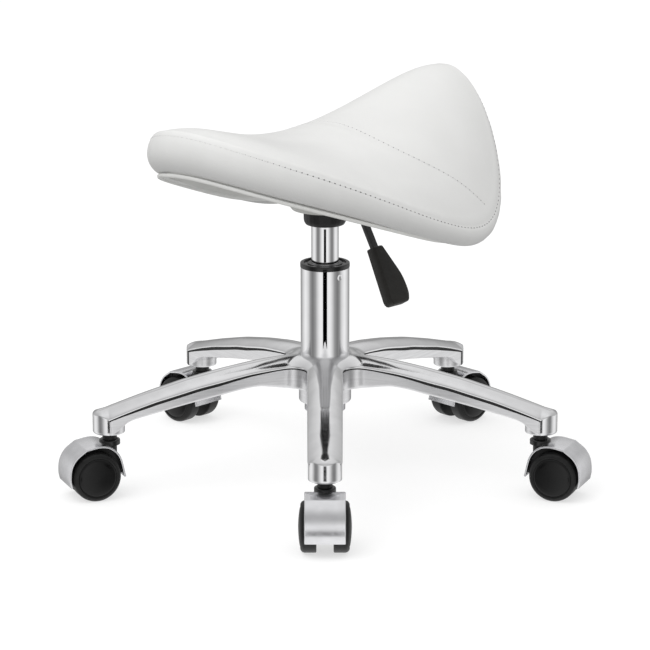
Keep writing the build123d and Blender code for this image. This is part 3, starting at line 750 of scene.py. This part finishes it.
wedge = np.concatenate(columns)
width = len(outline)
wedge_faces = strip_faces(len(columns), width)
wedge_kinds = []
# Top faces and the tip's end are polished. Groove faces, and the wall faces beside the groove at the tip,
# get the near-black painted shade. The rest is brushed.
for kind in kinds[1:]:
    for j in range(width - 1):
        tip_face = is_tip[j] and is_tip[j + 1]
        deep = is_groove[j] or is_groove[j + 1]
        if kind == "top" or (tip_face and kind in ("wall", "groove")):
            wedge_kinds.append(POLISHED)
        elif kind == "groove" or (deep and kind == "wall"):
            wedge_kinds.append(PAINTED_SHADE)
        else:
            wedge_kinds.append(BRUSHED)
vertices, faces, face_kinds = [], [], []
for heading in ARMS.values():
    for mirror in (1, -1):
        turn = radians(heading)
        x, y = wedge[:, 0], wedge[:, 1] * mirror
        base = len(vertices)
        vertices += list(np.column_stack([x * cos(turn) - y * sin(turn), x * sin(turn) + y * cos(turn),
                                          wedge[:, 2]]))
        faces += [tuple(base + k for k in (face if mirror == 1 else face[::-1])) for face in wedge_faces]
        face_kinds += wedge_kinds
star = piece("star_base_casting", vertices, faces, [polished, brushed, groove_painted_shade], "base",
             face_kinds, sharp=38)
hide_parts("star_base")

hub_profile = rounded([(25.0, 78.5), (25.6, 78.5), (27.0, 79.8), (27.0, 103), (25.0, 103)],
                      [0.0, 0.5, 1.5, 0.3, 0.0], 4)
hub_vertices, hub_faces = lathe(hub_profile, 128)
piece("hub_collar", hub_vertices, hub_faces, [brushed], "base")
boss_profile = rounded([(7.0, 65.2), (15.7, 65.2), (15.7, 80), (7.0, 80)], [0.4, 1.6, 0.2, 0.2], 4)
for place, heading in ARMS.items():
    spot = Matrix.Translation((STEM_CIRCLE * cos(radians(heading)), STEM_CIRCLE * sin(radians(heading)), 0))
    boss_vertices, boss_faces = lathe(boss_profile, 96, spot)
    piece(f"arm_boss_{place}", boss_vertices, boss_faces, [brushed], "base")


# ---------------------------------------------------------------- column

FLUTES, FLUTE_DEPTH, FLUTES_FROM = 24, 0.004, 18
bush_profile = rounded([(14.1, 165), (22.9, 165), (22.9, 219.9), (25.4, 219.9), (25.4, 224.9),
                        (21.6, 224.9), (21.6, 223.2), (17.6, 222.6), (17.6, 224.4), (14.1, 224.4)],
                       [0.5, 0.5, 0, 0.7, 1.1, 0.6, 0.3, 0.4, 0.5, 0.4], 4)
bush_vertices, bush_faces = lathe(bush_profile, 128)
bush = piece("bush_collar", bush_vertices, bush_faces, [black_gloss], "base")
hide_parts("guide_bush")
boot_profile = rounded([(14.1, 264.6), (19.6, 264.6), (21.6, 268.0), (22.0, 284), (22.0, 291), (14.1, 291)],
                       [0.4, 1.4, 3.0, 2.0, 0.3, 0.3], 5)
boot_vertices, boot_faces = lathe(boot_profile, 128)
for vertex in boot_vertices:
    if hypot(vertex.x, vertex.y) > FLUTES_FROM:
        flute = 1 + FLUTE_DEPTH * cos(FLUTES * np.arctan2(vertex.y, vertex.x))
        vertex.x *= flute
        vertex.y *= flute
boot = piece("fluted_boot", boot_vertices, boot_faces, [black_plastic], "seat", sharp=50)
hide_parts("column_boot")


# ---------------------------------------------------------------- casters

CASTERS = {"front": -90, "left": -157, "right": -23, "back_left": 137, "back_right": 43}
TRAIL = 20.5
WHEEL = 25.0
front_line = smooth_line([(27.2, -8.8), (28.6, 0), (27.2, 12), (21.5, 21.8), (10.7, 29.8)], 8)
rear_line = smooth_line([(9.9, 30.0), (-5, 31.9), (-16.5, 28.8), (-25.8, 18.5), (-31, -2.4)], 8)
hood_line = np.array(front_line + rear_line)
hood_out = right_of(hood_line)
hood_section = rounded([(0, -19.7), (0, 19.7), (-1.9, 19.7), (-1.9, -19.7)], [1.1, 1.1, 0.5, 0.5], 4)
hood_points = []
for offset, side in hood_section:
    flat = hood_line + hood_out * offset
    hood_points.append(np.column_stack([flat[:, 0] + TRAIL, np.full(len(flat), side), flat[:, 1] + WHEEL]))
hood_faces = strip_faces(len(hood_section), len(hood_line), close_rows=True)
hood_faces += end_caps(len(hood_section), len(hood_line))
hood_points = np.concatenate(hood_points)

wheel_profile = [(2.6, 8.2), (23.9, 8.2), (24.7, 8.5), (25.0, 9.3), (25.0, 19.4), (24.7, 20.9),
                 (23.9, 22.2), (22.7, 23.1), (21.4, 23.6), (20.7, 23.6), (20.2, 23.2), (19.7, 22.9),
                 (19.2, 23.3), (18.7, 23.8), (17.6, 24.2), (14.5, 24.75), (10.5, 25.2), (6.0, 25.55),
                 (2.0, 25.7), (0.0, 25.75), (0.0, 21.5), (2.6, 21.5)]
wheel_corners = [0.2, 0.4, 0.4, 0.4] + [0.5] * 4 + [0.3] * 8 + [0.8] * 4 + [0, 0, 0]
wheel_line = rounded(wheel_profile, wheel_corners, 2)
FACE_RADIUS, FACE_FROM = 20.9, 21


def turned_wheel(side):
    """A wheel's points and faces, with 0 for its glossy outer face and 1 for its tread."""
    vertices, faces = lathe(wheel_line, 112)
    placed = [Vector((v.x + TRAIL, side * v.z, v.y + WHEEL)) for v in vertices]
    kinds_of = [0 if max(hypot(vertices[k].x, vertices[k].y) for k in face) < FACE_RADIUS
                and min(vertices[k].z for k in face) > FACE_FROM else 1 for face in faces]
    return placed, faces, kinds_of


collar_profile = rounded([(7.3, 53.0), (10.6, 53.0), (10.6, 57.4), (9.6, 58.2), (7.3, 58.6)],
                         [0, 0, 0.5, 0.6, 0.2], 3)
for place, heading in CASTERS.items():
    arm = radians(ARMS[place])
    stem = Matrix.Translation((STEM_CIRCLE * cos(arm), STEM_CIRCLE * sin(arm), 0))
    corner = stem @ Matrix.Rotation(radians(heading), 4, "Z")
    hood = piece(f"hood_shell_{place}", [corner @ Vector(p) for p in hood_points], hood_faces,
                 [chrome_soft], f"caster_{place}", sharp=32)
    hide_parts(f"caster_{place}_hood")
    collar_vertices, collar_faces = lathe(collar_profile, 64, corner)
    piece(f"neck_ring_{place}", collar_vertices, collar_faces, [black_gloss], f"caster_{place}")
    for letter, side in (("a", 1), ("b", -1)):
        wheel_vertices, wheel_faces, wheel_kinds = turned_wheel(side)
        tyre = piece(f"wheel_{place}_{letter}", [corner @ v for v in wheel_vertices], wheel_faces,
                     [wheel_face, wheel_tread], f"wheel_{place}_{letter}", wheel_kinds,
                     sharp=40)
        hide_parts(f"caster_{place}_wheel_{letter}")


# ---------------------------------------------------------------- lever

LEVER_HEIGHT = 308.0
BEND = 35.8
SLOPE = radians(60.0)
BEND_ROUND = 5
BAR_LENGTH = 82.0
PADDLE_FROM = 65.8
lever_turn = Matrix.Rotation(HEADING, 4, "Z")


def down_slope(distance):
    """A place along the lever's sloping part: how far out from the column, and how high."""
    return np.array([BEND + distance * cos(SLOPE), LEVER_HEIGHT - distance * sin(SLOPE)])


bend_start = np.array([BEND - BEND_ROUND, LEVER_HEIGHT])
bend_corner = np.array([BEND, LEVER_HEIGHT])
bar_path = [(-3.0, LEVER_HEIGHT), (10.0, LEVER_HEIGHT), bend_start]
bar_path += [quadratic(bend_start, bend_corner, down_slope(BEND_ROUND), k / 6) for k in range(1, 6)]
bar_path += [down_slope(distance) for distance in (BEND_ROUND, 30, 60, BAR_LENGTH)]
bar_path = np.array(bar_path)
bar_up = -right_of(bar_path)
bar_section = rounded([(-4, -2.5), (4, -2.5), (4, 2.5), (-4, 2.5)], 1.0, 4)
bar_points = []
for side, lift in bar_section:
    flat = bar_path + bar_up * lift
    bar_points += [lever_turn @ Vector((side, float(p[0]), float(p[1]))) for p in flat]
bar_faces = strip_faces(len(bar_section), len(bar_path), close_rows=True)
bar_faces += end_caps(len(bar_section), len(bar_path))
bar = piece("lever_bar_rounded", bar_points, bar_faces, [black_steel], "lever")
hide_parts("lever_bar")

paddle_origin = Vector((0, *down_slope(PADDLE_FROM)))
paddle_x, paddle_y = Vector((-1, 0, 0)), Vector((0, -cos(SLOPE), sin(SLOPE)))
paddle_n = paddle_x.cross(paddle_y)
paddle_flat = np.array(rounded([(-6.5, 0), (6.5, 0), (18.5, -35), (18.5, -53), (14, -62), (-9, -62),
                                (-12, -58)],
                                [1.6, 2.0, 8.0, 7.0, 3.0, 2.0, 2.5], 5))
paddle_middle = paddle_flat.mean(0)
paddle_ahead = np.roll(paddle_flat, -1, 0) - np.roll(paddle_flat, 1, 0)
paddle_ahead /= np.linalg.norm(paddle_ahead, axis=1)[:, None]
paddle_out = np.stack([paddle_ahead[:, 1], -paddle_ahead[:, 0]], -1)
for k in range(len(paddle_out)):
    if np.dot(paddle_out[k], paddle_flat[k] - paddle_middle) < 0:
        paddle_out[k] = -paddle_out[k]
PADDLE_LEVELS = ((2.6, -6.0), (1.2, -5.9), (0.4, -5.4), (0.0, -4.5), (0.0, 4.5), (0.4, 5.4), (1.2, 5.9),
                 (2.6, 6.0))
paddle_rows = []
for inset, level in PADDLE_LEVELS:
    for x, y in paddle_flat - paddle_out * inset:
        paddle_rows.append(lever_turn @ (paddle_origin + paddle_x * float(x) + paddle_y * float(y)
                                         + paddle_n * level))
paddle_sides = len(paddle_flat)
last_row = (len(PADDLE_LEVELS) - 1) * paddle_sides
paddle_faces = strip_faces(len(PADDLE_LEVELS), paddle_sides, close_columns=True)
paddle_faces.append(tuple(range(paddle_sides))[::-1])
paddle_faces.append(tuple(last_row + k for k in range(paddle_sides)))
paddle = piece("lever_paddle_moulded", paddle_rows, paddle_faces, [paddle_black], "lever",
               sharp=42)
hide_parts("lever_paddle")


# ---------------------------------------------------------------- floor and reflections

def stage_mesh(name, vertices, faces, mat):
    """A mesh in metres that belongs to the studio and not to the stool."""
    mesh = bpy.data.meshes.new(name)
    mesh.from_pydata(vertices, [], faces)
    mesh.materials.append(mat)
    obj = bpy.data.objects.new(name, mesh)
    scene.collection.objects.link(obj)
    return obj


floor_mat = bpy.data.materials.new("floor")
floor_mat.use_nodes = True
floor_shader = floor_mat.node_tree.nodes["Principled BSDF"]
floor_shader.inputs["Base Color"].default_value = (0.42, 0.42, 0.42, 1)
floor_shader.inputs["Roughness"].default_value = 0.9
floor_shader.inputs["Specular IOR Level"].default_value = 0.0
floor_shader.inputs["Emission Color"].default_value = (1, 1, 1, 1)
floor_shader.inputs["Emission Strength"].default_value = 0.62
FLOOR = 14
floor_corners = [(-FLOOR, -FLOOR, 0), (FLOOR, -FLOOR, 0), (FLOOR, FLOOR, 0), (-FLOOR, FLOOR, 0)]
floor = stage_mesh("floor", floor_corners, [(0, 1, 2, 3)], floor_mat)
floor.visible_glossy = False
floor.visible_diffuse = False

# Only reflections see this dome.  It stands for the softboxes on either side and the gaps between
# them.  Near the horizon its tone follows the turn away from the camera's side, and overhead the
# distance to the left or right.
dome_mat = bpy.data.materials.new("studio_dome")
dome_mat.use_nodes = True
dome_tree = dome_mat.node_tree
dome_tree.nodes.clear()
dome_out = dome_tree.nodes.new("ShaderNodeOutputMaterial")
dome_glow = dome_tree.nodes.new("ShaderNodeEmission")
dome_tone = dome_tree.nodes.new("ShaderNodeAttribute")
dome_tone.attribute_name = "tone"
dome_tree.links.new(dome_tone.outputs["Color"], dome_glow.inputs["Color"])
dome_tree.links.new(dome_glow.outputs[0], dome_out.inputs["Surface"])
dome_mat.cycles.emission_sampling = "NONE"
COLUMNS, ROWS = 480, 160
DOME = 9.0
side_tone = ([0, 14, 22, 32, 46, 60, 72, 86, 104, 120, 140, 160, 180],
             [0.80, 0.92, 0.95, 0.75, 0.34, 0.20, 0.30, 0.72, 0.95, 0.78, 0.45, 0.28, 0.30])
high_tone = ([0.0, 0.10, 0.22, 0.45, 0.70, 0.90, 1.0], [0.84, 0.82, 0.74, 0.62, 0.48, 0.40, 0.40])
FRONT_SHADE, FRONT_FULL = 0.45, 0.7
HIGH_FROM, HIGH_OVER = 4, 26
LOW_FROM, LOW_OVER, LOW_TONE = -24, 20, 0.96
CARD_TURN, CARD_LIFT, CARD_TALL = 10.5, -15.0, 5.0
STRIP_SIDE, STRIP_FROM, STRIP_BACK = 0.052, 14, 0.3


def ramp(value):
    """A value held between zero and one."""
    return float(np.clip(value, 0, 1))


def dome_tone_at(direction, lift):
    """The dome's brightness in a direction, lift being its height in degrees above the horizon."""
    turn = abs(np.degrees(np.arctan2(direction.x, -direction.y)))
    low = float(np.interp(turn, *side_tone))
    high = float(np.interp(abs(direction.x), *high_tone))
    if direction.y < 0:
        high *= 1.0 - FRONT_SHADE * min(-direction.y / FRONT_FULL, 1.0)
    mix = ramp((lift - HIGH_FROM) / HIGH_OVER)
    tone = low * (1 - mix) + high * mix
    deep = ramp((LOW_FROM - lift) / LOW_OVER)
    tone = tone * (1 - deep) + LOW_TONE * deep
    # A narrow black card faces the column, and a black strip behind hangs over the front arm.
    card = ramp((CARD_TURN - turn) / 1.5) * ramp(CARD_TALL - abs(lift - CARD_LIFT))
    strip = ramp((STRIP_SIDE - abs(direction.x)) / 0.02) * ramp((lift - STRIP_FROM) / 6)
    if direction.y <= STRIP_BACK:
        strip = 0.0
    return tone * (1 - card) * (1 - strip)


dome_vertices, dome_tones = [], []
for i in range(ROWS + 1):
    elevation = pi * (i / ROWS - 0.5)
    for j in range(COLUMNS):
        a = 2 * pi * j / COLUMNS
        direction = Vector((sin(a) * cos(elevation), -cos(a) * cos(elevation), sin(elevation)))
        dome_vertices.append(tuple(direction * DOME))
        dome_tones.append(dome_tone_at(direction, np.degrees(elevation)))
dome_faces = strip_faces(ROWS + 1, COLUMNS, close_columns=True)
dome = stage_mesh("studio_dome", dome_vertices, dome_faces, dome_mat)
tone_layer = dome.data.attributes.new("tone", "FLOAT_COLOR", "POINT")
tone_layer.data.foreach_set("color", np.repeat(np.array(dome_tones, np.float32), 4))
dome.visible_camera = False
dome.visible_diffuse = False
dome.visible_shadow = False
dome.visible_transmission = False
dome.visible_volume_scatter = False

# The wide seat and the lever are kept out of the chrome's reflections, which show the studio alone.
for shown in (cushion, trim, edge_stitches, edge_hole_painted_shade, bar, paddle,
              nodes["seat_pan"], nodes["seat_shell"], nodes["mechanism_cover"]):
    shown.visible_glossy = False

bpy.context.view_layer.update()
